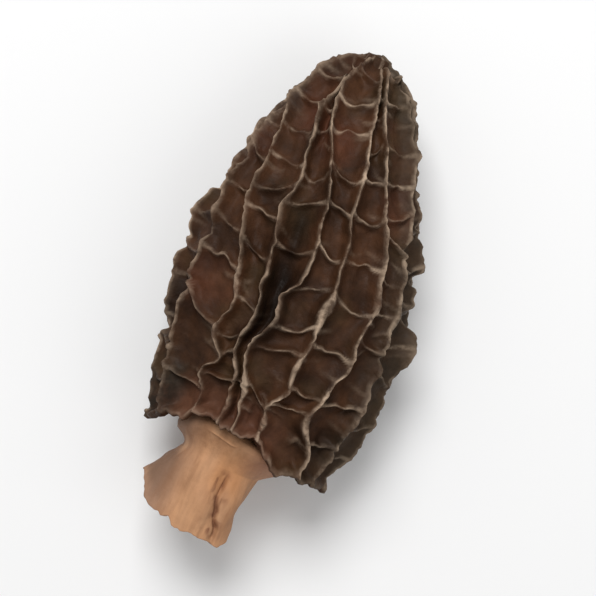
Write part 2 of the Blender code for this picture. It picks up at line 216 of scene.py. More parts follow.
# ---- wandering along one ridge or rib: (a number for each kind, length of its waves in mm)
WAVES = {
    "rise": (0, 6.0),
    "spur": (0, 1.5),
    "nick": (2, 1.9),
    "small nick": (3, 0.8),
    "ragged nick": (15, 0.55),
    "swell": (4, 2.8),
    "small swell": (5, 0.9),
    "meander": (6, 2.1),
    "small meander": (7, 0.9),
    "ragged meander": (16, 0.5),
    "lean": (8, 5.5),
    "worn": (12, 3.4),
    "small worn": (13, 1.3),
    "rib meander": (9, 1.9),
    "small rib meander": (11, 0.8),
    "rib swell": (10, 1.5),
    "rib paleness": (14, 2.0),
}
LINE_STEP = 37.0
KIND_STEPS = (5.1, 11.3)

# ---- lumps over a surface: (stretch along X, Y and Z, a shift that makes each its own, size in mm)
EVEN = (1, 1, 1)
PATCHES = {
    "form": (EVEN, 0, 13.0),
    "crumple": (EVEN, 30, 2.6),
    "wrinkle": (EVEN, 50, 1.4),
    "small wrinkle": (EVEN, 90, 0.8),
    "vein": ((1, 0.6, 1), 700, 3.2),
    "margin tear": ((1, 0, 1), 800, 1.3),
    "small margin tear": ((1, 0, 1), 840, 0.6),
    "lip tear": (EVEN, 200, 2.6),
    "small lip tear": (EVEN, 230, 1.1),
    "fine lip tear": (EVEN, 240, 0.5),
    "lip swell": (EVEN, 640, 3.4),
    "stem crumple": (EVEN, 300, 4.0),
    "stem fold": ((1, 0.5, 1), 340, 1.8),
    "stem fibre": ((1, 0.35, 1), 380, 0.8),
    "crease edge": (EVEN, 420, 1.3),
    "side crease": (EVEN, 500, 1.5),
    "side crease gap": (EVEN, 540, 1.8),
    "stain": (EVEN, 460, 1.1),
    "blotch": ((1.5, 0.8, 1.5), 600, 0.9),
}

# channel: short extra ribs where it is close-knit: (length up the side, ridge it starts from, strength)
CLOSE_KNIT = {
    1: [(20.6, 1, 1.3), (23.4, 0, 1.5), (24.6, 1, 1.6), (28.3, 0, 1.4), (29.6, 1, 1.5), (33.5, 0, 1.2)],
    3: [(7.6, 0, 1.2), (3.4, 1, 1.1)],
    5: [(10.0, 0, 1.0), (22.6, 1, 1.1)],
    2: [(3.6, 0, 1.2), (5.4, 1, 1.1)],
}
RIM_HALF = 0.45
# ridge: (length up the side, extra half width, half length) where its crest is spread out flat
BROAD_CRESTS = {
    2: ((6.5, 0.40, 2.4), (13.0, 0.15, 1.2), (27.0, 0.35, 1.8)),
    3: ((3.2, 0.25, 1.4), (15.0, 0.18, 1.0), (23.6, 0.55, 2.0)),
    4: ((8.6, 0.40, 2.2), (19.5, 0.15, 1.2)),
    1: ((26.0, 0.45, 2.2), (9.0, 0.20, 1.5)),
    6: ((14.5, 0.20, 1.0), (21.0, 0.25, 1.4)),
}
# (degrees round, length up the side, half width and half length in mm, extra depth) of the deepest pits
DEEP_PITS = (
    (98.0, 22.0, 2.2, 6.5, 1.3),
    (99.0, 31.5, 1.5, 3.6, 1.0),
    (170.0, 16.0, 2.5, 4.0, 0.8),
    (135.0, 11.0, 2.6, 4.0, 0.6),
    (40.0, 5.5, 1.9, 3.2, 0.6),
    (38.0, 15.0, 1.8, 5.0, 0.5),
)
DEEPEST = 1.3
PIT_FLOOR = (0.2, 0.75)
PIT_WALL = (0.7, 0.98)
# ridge: (length up the side, shift round the cap in mm, half length) where it bends aside
BENDS = {
    6: ((7.2, 1.2, 2.2), (11.3, -0.8, 1.6), (15.4, 0.9, 2.0), (19.8, -0.6, 2.0)),
    5: ((19.5, -1.3, 3.2),),
    4: ((14.4, 0.6, 2.0), (19.3, -0.7, 2.0), (23.0, 0.8, 1.8)),
    3: ((5.6, 0.5, 2.0), (12.0, -0.4, 2.4)),
    2: ((6.0, 0.9, 2.6), (3.0, -0.6, 1.4), (25.0, -1.0, 3.2)),
}
# ridge: (length up the side, depth, half length) of the gaps in its crest. A depth below 0 is a lobe.
NOTCHES = {
    0: ((17.6, 0.7, 1.2), (23.2, -1.1, 2.6), (27.6, 1.6, 1.3), (32.8, 1.3, 0.9), (39.5, 0.9, 1.2)),
    1: ((21.0, 0.6, 1.2), (35.0, 0.8, 1.4)),
    7: ((9.0, 0.9, 1.4), (18.6, 1.1, 1.3), (27.0, 0.9, 1.5), (38.0, 1.0, 1.2)),
    8: ((12.0, 0.8, 1.3), (24.0, 1.1, 1.4), (34.0, 0.9, 1.3)),
    15: ((8.0, 0.9, 1.4), (22.0, 1.0, 1.5), (36.0, 0.9, 1.3)),
}
# ridge: share of the paleness of its crest that is left, on the side that stayed darker
DULL_CRESTS = {4: 0.85, 5: 0.7, 6: 0.7, 7: 0.6}
SCALLOP = 0.55
SCALLOP_SPAN = (0, 3.5)
MARGIN_TEAR = 0.5
SMALL_TEAR_SHARE = 0.7
TEAR_SPAN = (0, 1.8)
# (degrees round, half width in degrees, how far it hangs down in mm) of the margin's own lobes and notches
MARGIN_LOBES = (
    (64.0, 7.0, 1.0),
    (82.0, 6.0, -0.8),
    (110.0, 7.0, -0.5),
    (128.0, 6.0, 0.5),
    (36.0, 6.0, 0.4),
)
LOBE_SPAN = (0, 5)
CAP_ROWS = 232
CAP_COLUMNS_EACH = 22
CAVITY_ROWS = 12
RIB_ROWS = (-0.9, -0.45, -0.2, 0, 0.2, 0.45, 0.9)
MARGIN_ROWS = (0.0, 0.25, 0.5, 1.0)
TIP_ROWS = (3.0, 1.5, 0.0)
COLUMN_CROWDING = 1.5
SHARED_ROWS = 0.2

# ---- where the cap's skin is reddish, sooty or olive: spans up its side in mm and round it in degrees
RUDDY = ((1.5, 7), (62, 85), (135, 165))
SOOTY = ((3, 13), (128, 150), (200, 230))
OLIVE = ((28, 48), (320, 345))

# ---- the hollow inside the cap, and the opening that the stem stands in
WALL = 1.8
CAVITY_BASE = 8.0
CAVITY_TOP = 53.0
OPENING_MIDDLE = (-2.6, 0.0)
OPENING_HALF = (6.3, 5.6)
OPENING_HEIGHTS = (4.4, 6.2)
RIM_THICK = 1.3
RIM_RISE = 0.2
RIM_SAG = 0.15
UNDERSIDE_SHARES = (0.25, 0.5, 0.75)
# an inset past any half width, which draws the hollow's end in to one point
FULL_INSET = 99.0

# ---- the stem
STEM_TOP = 7.6
TUBE_HALF = (5.9, 5.2)
# (degrees round, how far the web under the cap reaches out there)
FLANGE_REACH = (
    (0, 10.3),
    (45, 8.6),
    (90, 7.2),
    (135, 7.7),
    (180, 7.7),
    (225, 7.8),
    (270, 7.0),
    (315, 8.4),
    (360, 10.3),
)
FLANGE_DROP = 0.5
FLANGE_THICK = 0.9
FLANGE_GAP = 0.3
FLANGE_TUCK = 0.3
FLANGE_RISE = (1.0, 0.5)
WEB_SHARE = 0.55
WEB_HOLLOW = 0.7
WEB_BOW = 1.3
WEB_LEAN = 0.7
# the narrowest ring of the stem: height, half width, half depth, middle in X
NECK = (-2.4, 5.9, 5.2, -1.15)
# (degrees round, X, height and Z) of the cut end
LIP = (
    (0, 3.9, -10.5, 0.6),
    (45, 3.3, -12.4, 4.3),
    (90, -1.8, -11.9, 5.5),
    (135, -6.9, -10.9, 4.6),
    (180, -10.7, -7.3, 1.2),
    (225, -8.2, -8.8, -3.9),
    (270, -2.6, -10.3, -5.3),
    (315, 2.1, -10.7, -3.7),
    (360, 3.9, -10.5, 0.6),
)
LIP_TEAR = 0.5
LIP_TEARS = {"lip tear": 1.3, "small lip tear": 0.7, "fine lip tear": 0.4}
LIP_SWELL = 0.4
STEM_WALL = 1.1
STEM_CRUMPLES = {"stem crumple": 0.45, "stem fold": 0.22, "stem fibre": 0.10}
CRUMPLED_FROM = (-0.2, 0.3)
FLUTES = 5
FLUTE_DEPTH = 0.45
FLUTE_TURN = 0.8
WAIST_DEPTH = 0.9
WAIST_SHARE = 0.62
WAIST_REACH = 0.26
# the fold of skin under the cap's margin. Its place and width are shares of the way down the web.
SKIRT_FOLD = 0.3
FOLD_SHARE = 0.05
FOLD_WAVE = (0.02, 9)
FOLD_HALF = 0.03
FOLD_FALL = 0.4
FOLD_SPANS = ((76, 86), (106, 120))
# the creases down the stem. Angles are in degrees, and shares are of the way from the neck to the lip.
CREASE_ANGLE = 74.0
CREASE_TURN = 19.0
CREASE_WIDTH = 9.0
CREASE_DEPTH = 0.8
CREASE_START = 0.15
CREASE_WAVE = (3.5, 8, 1)
CREASE_WANDER = 2.5
CREASE_ENDS = ((0.0, 0.15), (0.85, 1.0))
CUT_WIDTH = 2.6
CUT_DEPTH = 0.35
SIDE_CREASE = (13, 9)
SIDE_WANDER = 3.0
SIDE_WIDTH = 1.8
SIDE_DEPTH = 0.2
SIDE_SHARE = 0.6
SIDE_GAPS = (-0.3, 0.3)
FLAP_HEIGHT = 0.55
FLAP_SPANS = ((-5, -0.5), (-55, -25), (0.0, 0.4))
# how stained the creases are
STAIN_LEAST = 0.15
STAIN_SPAN = (-0.25, 0.25)
BLOTCH_SPAN = (0.05, 0.4)
BLOTCH_BAND = (4, 12)
STAIN_SHARES = (0.35, 0.9, 0.9)
# where the stem is shaded and where it is warm in colour: degrees round, and shares down it
SHADED = ((118, 158), (205, 240), (0.0, 0.25), (0.75, 1.0))
WARM = ((40, 58), (84, 100), (0.1, 0.5))
WEB_SIDE = ((0.25, 0.8), (-0.6, 0.0))
WEB_POWER = 0.5
STEM_COLUMNS = 300
STEM_ROWS = 84
SLOPE_ROWS = 52
BORE_ROWS = 40
BORE_FOOT = 2.0

# ---- the skins' colours, in screen values from 0 to 255
COLOURS = {
    "dark pit": (45, 27, 15),
    "brown pit": (70, 44, 27),
    "olive patches": (58, 45, 27),
    "russet patches": (90, 49, 33),
    "ridge wall": (90, 71, 57),
    "pale crest": (167, 145, 124),
    "soot": (34, 31, 26),
    "tan flesh": (162, 118, 84),
    "light flesh": (183, 137, 100),
    # painted shade: the colour of the stem's shaded left side
    "shaded side": (140, 108, 87),
    "brown streaks": (142, 100, 70),
    "pale streaks": (196, 154, 118),
}
# a mark on the skin: (how strongly it stains, the stain's colour). The deep and shaded marks are painted
# shade.
STAINS = {
    "ruddy": (0.6, (98, 64, 48)),
    "olive": (0.45, (58, 52, 41)),
    # painted shade: near black laid into the deepest pits
    "deep": (0.85, (14, 9, 6)),
    "warm": (0.55, (180, 124, 78)),
    "shaded": (0.75, (106, 79, 61)),
    "fold": (0.6, (204, 152, 110)),
    "crease": (0.8, (108, 65, 43)),
    "web": (0.75, (140, 98, 78)),
}
# a pattern in the skin: (scale, how many finer layers it has, how strong they are)
PATTERNS = {
    "cap tone": (190, 3, 0.55),
    "olive patches": (105, 2, 0.55),
    "russet patches": (75, 2, 0.55),
    "wrinkles": (420, 5, 0.65),
    "soot": (260, 4, 0.6),
    "grain": (900, 5, 0.6),
    "leather": (1300, 3, 0.5),
    "sheen": (420, 3, 0.55),
    "stem tone": (130, 3, 0.55),
    "fibres": (1400, 4, 0.6),
    "brown streaks": (520, 4, 0.6),
    "pale streaks": (300, 3, 0.5),
}
# the values of a pattern or a mark that are drawn out, low and high, and what they are drawn out to
SPREADS = {
    "cap tone": (0.36, 0.64, 0, 1),
    "olive patches": (0.54, 0.70, 0, 0.55),
    "russet patches": (0.55, 0.72, 0, 0.45),
    "ridge wall": (0.6, 1.0, 0, 0.55),
    "wrinkles": (0.40, 0.58, 0.12, 1.0),
    "soot": (0.38, 0.62, 0.15, 0.85),
    "grain": (0.3, 0.7, 0.82, 1.14),
    "sheen": (0.3, 0.7, 0.5, 0.72),
    "stem tone": (0.35, 0.65, 0, 1),
    # painted shade: spread over the stem's left side, darkest furthest left
    "shaded side": (-0.0030, -0.0066, 0, 0.85),
    "fibres": (0.3, 0.7, 0.88, 1.08),
    "brown streaks": (0.52, 0.70, 0, 0.65),
    "pale streaks": (0.53, 0.72, 0, 0.6),
}
# fine relief in the skin: (strength, depth in metres)
RELIEFS = {
    "leather": (0.25, 0.00025),
    "wrinkles": (0.45, 0.0006),
    "fibres": (0.35, 0.0003),
    "grain": (0.4, 0.0004),
}
FIBRE_STRETCH = (1, 0.16, 1)
# a material: (roughness, shine)
FINISHES = {"dried cap skin": (0.6, 0.12), "dried stem skin": (0.7, 0.3), "pale floor": (0.9, 0.5)}

# ---- the setting, in metres
FLOOR_HALF = 1.5
FLOOR_DROP = 0.00005
FLOOR_COLOUR = (0.82, 0.82, 0.82, 1)
# a light: (where it is, how wide it is, its power)
LIGHTS = {
    "main light": ((-0.22, 0.34, 0.6), 0.35, 4.4),
    "fill light": ((0.5, -0.1, 0.5), 0.6, 1.0),
}
SKY_COLOUR = (1, 1, 1, 1)
SKY_STRENGTH = 0.42
LENS = 100
NEAREST, FARTHEST = 0.01, 10
CAMERA_HEIGHT = 0.24
CAMERA_TURN = 25

# points closer than this, in metres, are one point
MERGE_REACH = 1e-7
LATTICE_SIDE = 16
LATTICE = np.random.default_rng(SEED).random((LATTICE_SIDE,) * 3)


def curve(knots, values, at):
    """The smooth curve through values at knots, read at each of at."""
    knots, values, at = np.asarray(knots, float), np.asarray(values, float), np.asarray(at, float)
    slopes = np.gradient(values, knots, axis=0)
    i = np.clip(np.searchsorted(knots, at) - 1, 0, len(knots) - 2)
    span = knots[i + 1] - knots[i]
    t = np.clip((at - knots[i]) / span, 0, 1)
    rise = t * t * (3 - 2 * t)
    if values.ndim > 1:
        span, t, rise = span[..., None], t[..., None], rise[..., None]
    bend = span * t * (1 - t) * ((1 - t) * slopes[i] - t * slopes[i + 1])
    return values[i] * (1 - rise) + values[i + 1] * rise + bend


def noise(points, size):
    """Smooth noise from -1 to 1 at points, with lumps about size across."""
    scaled = np.asarray(points, float) / size
    cell = np.floor(scaled).astype(int)
    part = scaled - cell
    part = part * part * (3 - 2 * part)
    total = 0.0
    for corner in itertools.product((0, 1), repeat=3):
        weight = np.prod(np.where(corner, part, 1 - part), axis=-1)
        x, y, z = np.moveaxis((cell + corner) % LATTICE_SIDE, -1, 0)
        total = total + weight * LATTICE[x, y, z]
    return 2 * total - 1


def ramp(value, low, high):
    """0 below low, 1 above high and smooth between them."""
    t = np.clip((value - low) / (high - low), 0, 1)
    return t * t * (3 - 2 * t)


def between(value, rise, fall):
    """0, then 1 after the span of a rise, then 0 again after the span of a fall."""
    return ramp(value, *rise) * (1 - ramp(value, *fall))


def round_table(table, angle):
    """Values given at angles round a full turn, read at any angle in radians."""
    table = np.asarray(table, float)
    return curve(table[:, 0], table[:, 1:], np.degrees(angle) % 360)


def line_noise(number, along, wave):
    """Smooth noise along one ridge or rib: its own for each number and each of WAVES."""
    kind, length = WAVES[wave]
    along = np.asarray(along, float)
    line = np.full_like(along, LINE_STEP * number + KIND_STEPS[0] * kind)
    return noise(np.stack([line, along, np.full_like(along, KIND_STEPS[1] * kind)], axis=-1), length)


def lumps(points, patch):
    """Smooth noise over a surface, of the kind that PATCHES gives."""
    stretch, shift, size = PATCHES[patch]
    return noise(points * stretch + shift, size)


def bump(value, middle, reach, power=2):
    """1 at the middle, falling off to 0 past its reach on both sides."""
    return np.exp(-(((value - middle) / reach) ** power))


# ---- the cap's form


def form_lengths():
    """Length along the cap's side at each row of CAP_FORM, from the margin to the tip."""
    steps = np.hypot(np.diff(CAP_FORM[:, 0]), np.diff(CAP_FORM[:, 1]))
    return np.concatenate([[0], np.cumsum(steps)])


FORM_LENGTHS = form_lengths()
SIDE_LENGTH = FORM_LENGTHS[-1]


def cap_skin(angle, along, inset=0.0):
    """Points of the cap's form at angles round it and lengths up its side, drawn in by inset."""
    height, wide, deep, middle_x, middle_z = np.moveaxis(curve(FORM_LENGTHS, CAP_FORM, along), -1, 0)
    lift = round_table(MARGIN_LIFT, angle)[..., 0] * (1 - ramp(along, *LIFT_SPAN))
    wide, deep = np.maximum(wide - inset, 0), np.maximum(deep - inset, 0)
    across, up = middle_x + wide * np.cos(angle), middle_z + deep * np.sin(angle)
    return np.stack([across, height + lift, up], axis=-1)


def cap_normal(angle, along):
    """Outward directions of the cap's form, directions round it, and the length round it of each radian."""
    along = np.clip(along, SLOPE_END, SIDE_LENGTH - SLOPE_END)
    before, after = cap_skin(angle - SLOPE_STEP, along), cap_skin(angle + SLOPE_STEP, along)
    below, above = cap_skin(angle, along - SLOPE_STEP), cap_skin(angle, along + SLOPE_STEP)
    round_it, up_it = (after - before) / (2 * SLOPE_STEP), (above - below) / (2 * SLOPE_STEP)
    normal = np.cross(up_it, round_it)
    length = np.linalg.norm(round_it, axis=-1)
    return normal / np.linalg.norm(normal, axis=-1, keepdims=True), round_it / length[..., None], length


# ---- the net of ridges and ribs


def lay_ridges(random):
    """Each ridge's angle at KNOT_HEIGHTS: the upper side's laid one by one, the lower side's by a rule."""
    ridges = [np.array(ridge, float) for ridge in UPPER_RIDGES]
    for number in range(LOWER_RIDGES):
        jitter = random.uniform(-LOWER_JITTER, LOWER_JITTER, len(KNOT_HEIGHTS))
        angles = LOWER_FIRST + number * LOWER_SPACING + jitter
        angles[-LOWER_PINCHED:] += LOWER_PINCH if number % 2 == 0 else -LOWER_PINCH
        ridges.append(angles)
    return ridges


def lay_ribs(random):
    """Each channel's ribs from the margin up: (length up the side at its first ridge, at its second)."""
    channels = []
    for channel in range(RIDGE_COUNT):
        ribs = list(UPPER_RIBS.get(channel, ()))
        top = max(ribs[-1]) if ribs else 0.0
        while True:
            top += random.uniform(*RIB_SPACING)
            if top > SIDE_LENGTH - RIBS_STOP:
                break
            slant = random.uniform(-RIB_SLANT, RIB_SLANT) / 2
            ribs.append((top - slant, top + slant))
        channels.append(ribs)
    return channels


RANDOM = np.random.default_rng(SEED)
RIDGES = lay_ridges(RANDOM)
RIBS = lay_ribs(RANDOM)
RIDGE_PHASES = RANDOM.uniform(0, 2 * math.pi, (RIDGE_COUNT, 2))
RIM_STRENGTH = RANDOM.uniform(*RIM_RANGE, RIDGE_COUNT)


def lay_spurs(random):
    """One channel's short ribs: (length up the side, which of its two ridges it starts from, strength)."""
    low, high = SPUR_ENDS[0], SIDE_LENGTH - SPUR_ENDS[1]
    return [
        (random.uniform(low, high), random.choice((0, 1)), random.uniform(*SPUR_STRENGTH))
        for _ in range(SPURS_EACH)
    ]


SPURS = [lay_spurs(RANDOM) for _ in range(RIDGE_COUNT)]
for knit_channel, knit_ribs in CLOSE_KNIT.items():
    SPURS[knit_channel] += knit_ribs


def ridge_angle(ridge, along):
    """A ridge's angle round the cap in radians, with its slow bends and its short sway."""
    turns, number = divmod(ridge, RIDGE_COUNT)
    slow, quick = RIDGE_PHASES[number]
    sway = sum(share * np.sin(along / reach + phase) for (share, reach), phase in zip(SWAYS, (slow, quick)))
    laid = curve(KNOT_HEIGHTS, RIDGES[number], along)
    for middle, aside, reach in BENDS.get(number, ()):
        laid = laid + np.degrees(aside / MEAN_RADIUS) * bump(along, middle, reach)
    return np.radians(360 * turns + laid + RIDGE_SWAY * sway * ramp(SIDE_LENGTH - along, *TIP_CALM))


def ridge_height(ridge, along):
    """How far a ridge stands above the pits' floors, with the nicks in its crest."""
    number = ridge % RIDGE_COUNT
    from_tip = SIDE_LENGTH - along
    fade = TIP_SHARE + (1 - TIP_SHARE) * ramp(from_tip, *TIP_FADE)
    height = RIDGE_HEIGHT * fade * (RIDGE_RISE[0] + RIDGE_RISE[1] * line_noise(number, along, "rise"))
    nick = NICK_DEPTH * (line_noise(number, along, "nick") - NICK_BIAS)
    nick = nick + SMALL_SHARE * NICK_DEPTH * line_noise(number, along, "small nick")
    nick = nick + RAGGED * line_noise(number, along, "ragged nick")
    for middle, depth, reach in NOTCHES.get(number, ()):
        nick = nick - depth * bump(along, middle, reach, 4)
    for step, (start, end) in TIP_ENDS.items():
        if number % (2 * step) == step:
            height = height * (1 - TIP_END_SHARE * (1 - ramp(from_tip, end, start)))
    return height + nick * fade


def crest_half(ridge, along):
    """Half the width of a ridge's crest, which is broad in a few places."""
    number = ridge % RIDGE_COUNT
    half = CREST_HALF + CREST_SWELL * line_noise(number, along, "swell")
    half = half + SMALL_SWELL * line_noise(number, along, "small swell")
    for middle, extra, reach in BROAD_CRESTS.get(number, ()):
        half = half + extra * bump(along, middle, reach)
    return np.maximum(half, LEAST_CREST_HALF)


def bowl(distance, half, wall_run, floor_run):
    """1 on a crest, with a small round top, then a thin wall that runs out into the pit's hollow floor."""
    out = np.maximum(distance - half, 0)
    wall = np.clip(1 - out / wall_run, 0, 1) ** BOWL_POWER
    floor = np.clip(1 - out / floor_run, 0, 1) ** BOWL_POWER
    top = CREST_ROUND * np.clip(distance / half, 0, 1) ** 2
    return (WALL_SHARE * wall + (1 - WALL_SHARE) * floor) * (1 - top)


def rib_line(channel, number, across, width):
    """A rib's height up the cap's side, at a share of the way across a channel that is width wide."""
    first, second = RIBS[channel][number]
    key = RIB_KEYS_EACH * channel + number
    arch = 4 * across * (1 - across)
    sag = RIB_SAG * (RIB_SAG_RANGE[0] + RIB_SAG_RANGE[1] * math.sin(OWN_SAG * key))
    wave = line_noise(key, across * width, "rib meander")
    wave = wave + SMALL_RIB_SHARE * line_noise(key, across * width, "small rib meander")
    return first + (second - first) * across + (RIB_MEANDER * wave - sag) * arch


def ridge_relief(ridge, distance, along, room):
    """One ridge near a channel's points: its height above the floors, its lean, and how pale it is."""
    number = ridge % RIDGE_COUNT
    half = crest_half(ridge, along)
    height = ridge_height(ridge, along) * bowl(distance, half, WALL_RUN * room, BOWL_RUN * room)
    meander = line_noise(number, along, "meander")
    meander = meander + SMALL_SHARE * line_noise(number, along, "small meander")
    lean = CREST_LEAN * line_noise(number, along, "lean") + CREST_MEANDER * meander
    lean = lean + RAGGED * line_noise(number, along, "ragged meander")
    worn = line_noise(number, along, "worn") + SMALL_SHARE * line_noise(number, along, "small worn")
    worn = 1 - WORN_SHARE + WORN_SHARE * ramp(worn, *WORN_SPAN)
    fringe = 1 - ramp(distance, half * CREST_CORE, half + CREST_FRINGE)
    return height, lean, fringe * worn * DULL_CRESTS.get(number, 1.0)


def rib_relief(channel, number, across, along, width, room):
    """One rib across a channel: its height above the floors, and how pale it is."""
    key = RIB_KEYS_EACH * channel + number
    arch = 4 * across * (1 - across)
    over = across * width
    distance = np.abs(along - rib_line(channel, number, across, width))
    half = RIB_HALF * (RIB_HALF_RANGE[0] + RIB_HALF_RANGE[1] * line_noise(key, over, "rib swell"))
    half = half + RIB_END_SWELL * (1 - arch)
    own_fade = math.sin(OWN_FADE * key)
    fading = abs(own_fade) * ramp(across if own_fade > 0 else 1 - across, *RIB_FADE_SPAN)
    strength = RIB_STRENGTH[0] + RIB_STRENGTH[1] * math.sin(OWN_STRENGTH * key)
    strength = RIB_HEIGHT * strength * (1 - RIB_DIP * arch) * (1 - RIB_FADE * fading)
    thick = np.maximum(half, LEAST_RIB_HALF)
    height = strength * bowl(distance, thick, RIB_WALL_RUN * room, RIB_BOWL_RUN * room)
    pale = ramp(line_noise(key, over, "rib paleness"), *RIB_PALE_SPAN)
    pale = RIB_PALENESS[0] + RIB_PALENESS[1] * math.sin(OWN_PALENESS * key) * pale
    pale = pale * (1 - RIB_DULLING * fading) * DULL_CRESTS.get(channel, 1.0)
    fringe = RIB_FRINGE + RIB_END_FRINGE * (1 - arch)
    return height, (1 - ramp(distance, half * RIB_CORE, half + fringe)) * pale


def spur_relief(channel, number, across, along, width):
    """One short rib that dies out in mid-channel: its height above the floors, and how pale it is."""
    top, side, strength = SPURS[channel][number]
    key = SPUR_KEYS + RIB_KEYS_EACH * channel + number
    reach = np.clip(1 - (across if side == 0 else 1 - across) / SPUR_REACH, 0, 1) ** SPUR_REACH_POWER
    line = top + SPUR_SLANT * (0.5 - across) * math.sin(OWN_SLANT * key)
    line = line + SPUR_WANDER * line_noise(key, across * width, "spur")
    distance = np.abs(along - line)
    height = SPUR_HEIGHT * strength * RIB_HEIGHT * reach * bowl(distance, SPUR_HALF, *SPUR_RUNS)
    return height, (1 - ramp(distance, *SPUR_PALE_SPAN)) * reach * SPUR_PALENESS * strength


def channel_relief(channel, across, along):
    """The net over one channel: each point's angle, height above the floors, shift aside and paleness."""
    first, second = ridge_angle(channel, along), ridge_angle(channel + 1, along)
    angle = first + (second - first) * across
    width = cap_normal(angle, along)[2] * (second - first)
    room = np.clip(width / FULL_CHANNEL, LEAST_ROOM, 1.0)
    here = ridge_relief(channel, across * width, along, room)
    there = ridge_relief(channel + 1, (1 - across) * width, along, room)
    heights, crests = [here[0], there[0]], [here[2], there[2]]
    ribs, spurs = range(len(RIBS[channel])), range(len(SPURS[channel]))
    crossing = [rib_relief(channel, number, across, along, width, room) for number in ribs]
    crossing += [spur_relief(channel, number, across, along, width) for number in spurs]
    for height, crest in crossing:
        heights.append(height)
        crests.append(crest)
    from_tip = SIDE_LENGTH - along
    rim = RIM_STRENGTH[channel] * bowl(along, RIM_HALF, *RIM_RUNS)
    tip = TIP_SHARE * bowl(from_tip, TIP_CREST, *TIP_RUNS)
    heights.append(np.maximum(rim, tip) * RIDGE_HEIGHT)
    crests.append(MARGIN_PALENESS * (1 - ramp(along, *MARGIN_PALE_SPAN)))
    height = sum(h**JOIN_POWER for h in heights) ** (1 / JOIN_POWER)
    lean = (here[1] * here[0] + there[1] * there[0]) / (here[0] + there[0] + LEAST_HEIGHT)
    shift = lean * np.clip(height / RIDGE_HEIGHT, 0, 1) ** LEAN_POWER
    shift = shift * ramp(from_tip, *TIP_UPRIGHT) * ramp(along, *MARGIN_UPRIGHT)
    pale = 1 - TIP_DULLING * (1 - ramp(from_tip, *TIP_DULL_SPAN))
    return angle, height, shift, np.clip(np.max(crests, axis=0), 0, 1) * pale


def deepened(angle, along, height):
    """The relief's height with the deepest pits sunk into it, and how much painted shade each point gets
    for it.
    """
    per_radian = cap_normal(angle, along)[2]
    share_of_ridge = height / RIDGE_HEIGHT
    floor = 1 - ramp(share_of_ridge, *PIT_FLOOR)
    below_crest = 1 - ramp(share_of_ridge, *PIT_WALL)
    sunk, deep = 0 * height, 0 * height
    for degrees, middle, wide, tall, depth in DEEP_PITS:
        round_it = (angle - math.radians(degrees)) * per_radian
        share = bump(round_it, 0, wide) * bump(along, middle, tall, 4)
        sunk = sunk + depth * floor * share
        # how much painted shade, near black, each point of the deepest pits gets
        deep = deep + depth / DEEPEST * share * below_crest
    return height - np.minimum(sunk, DEEPEST), deep


def veins(points):
    """1 along the thin folds that wander over the pits' floors, mostly lengthwise, and 0 away from them."""
    return (1 - np.abs(lumps(points, "vein"))) ** VEIN_POWER


def cap_surface(angle, along, height, shift, arch):
    """Points of the cap's outer skin for a relief of that height, flattened where it lies on the floor."""
    normal, round_it, _ = cap_normal(angle, along)
    points = cap_skin(angle, along)
    form = FORM_LUMPS * lumps(points, "form") * ramp(along, *LUMPS_SPAN)
    creased = CRUMPLE_DEPTH * (1 - ramp(height, *CRUMPLE_SPAN)) * lumps(points, "crumple")
    creased = creased + WRINKLE_DEPTH * lumps(points, "wrinkle")
    creased = creased + WRINKLE_DEPTH * SMALL_WRINKLE_SHARE * lumps(points, "small wrinkle")
    creased = creased + VEIN_HEIGHT * veins(points) * (1 - ramp(height, *VEIN_SPAN))
    raised = height - RIDGE_HEIGHT + form + creased * ramp(SIDE_LENGTH - along, *TIP_SMOOTH_SPAN)
    points = points + normal * raised[..., None] + round_it * shift[..., None]
    points[..., 1] -= SCALLOP * arch * (1 - ramp(along, *SCALLOP_SPAN))
    for degrees, wide, drop in MARGIN_LOBES:
        points[..., 1] -= drop * bump(np.degrees(angle), degrees, wide) * (1 - ramp(along, *LOBE_SPAN))
    torn = lumps(points, "margin tear") + SMALL_TEAR_SHARE * lumps(points, "small margin tear")
    points[..., 1] += MARGIN_TEAR * torn * (1 - ramp(along, *TEAR_SPAN))
    points[..., 2] = np.maximum(points[..., 2], -REST_DEPTH)
    return points


# ---- the cap's mesh


def spread(marks, rows):
    """Rows through every mark, with the spare ones shared out over the widest gaps."""
    gaps = np.diff(marks)
    steps = np.ones(len(gaps), int)
    for _ in range(rows - len(marks)):
        steps[np.argmax(gaps / steps)] += 1
    return steps


def channel_rows(channel, shares):
    """Lengths up the side of the rows down each column of a channel, drawn together at each rib."""

    def marks(share):
        found = list(MARGIN_ROWS)
        for number, rib in enumerate(RIBS[channel]):
            middle = rib[0] + (rib[1] - rib[0]) * share
            first, second = ridge_angle(channel, middle), ridge_angle(channel + 1, middle)
            width = cap_normal(first + (second - first) * share, middle)[2] * (second - first)
            line = float(rib_line(channel, number, share, width))
            found += [line + offset for offset in RIB_ROWS]
        return np.array(found + [SIDE_LENGTH - from_tip for from_tip in TIP_ROWS])

    steps = spread(marks(0.5), CAP_ROWS)
    columns = []
    for share in shares:
        here = np.sort(marks(share))
        pieces = [np.linspace(a, b, n + 1)[:-1] for a, b, n in zip(here, here[1:], steps)]
        columns.append(np.concatenate([*pieces, here[-1:]]))
    return np.array(columns)


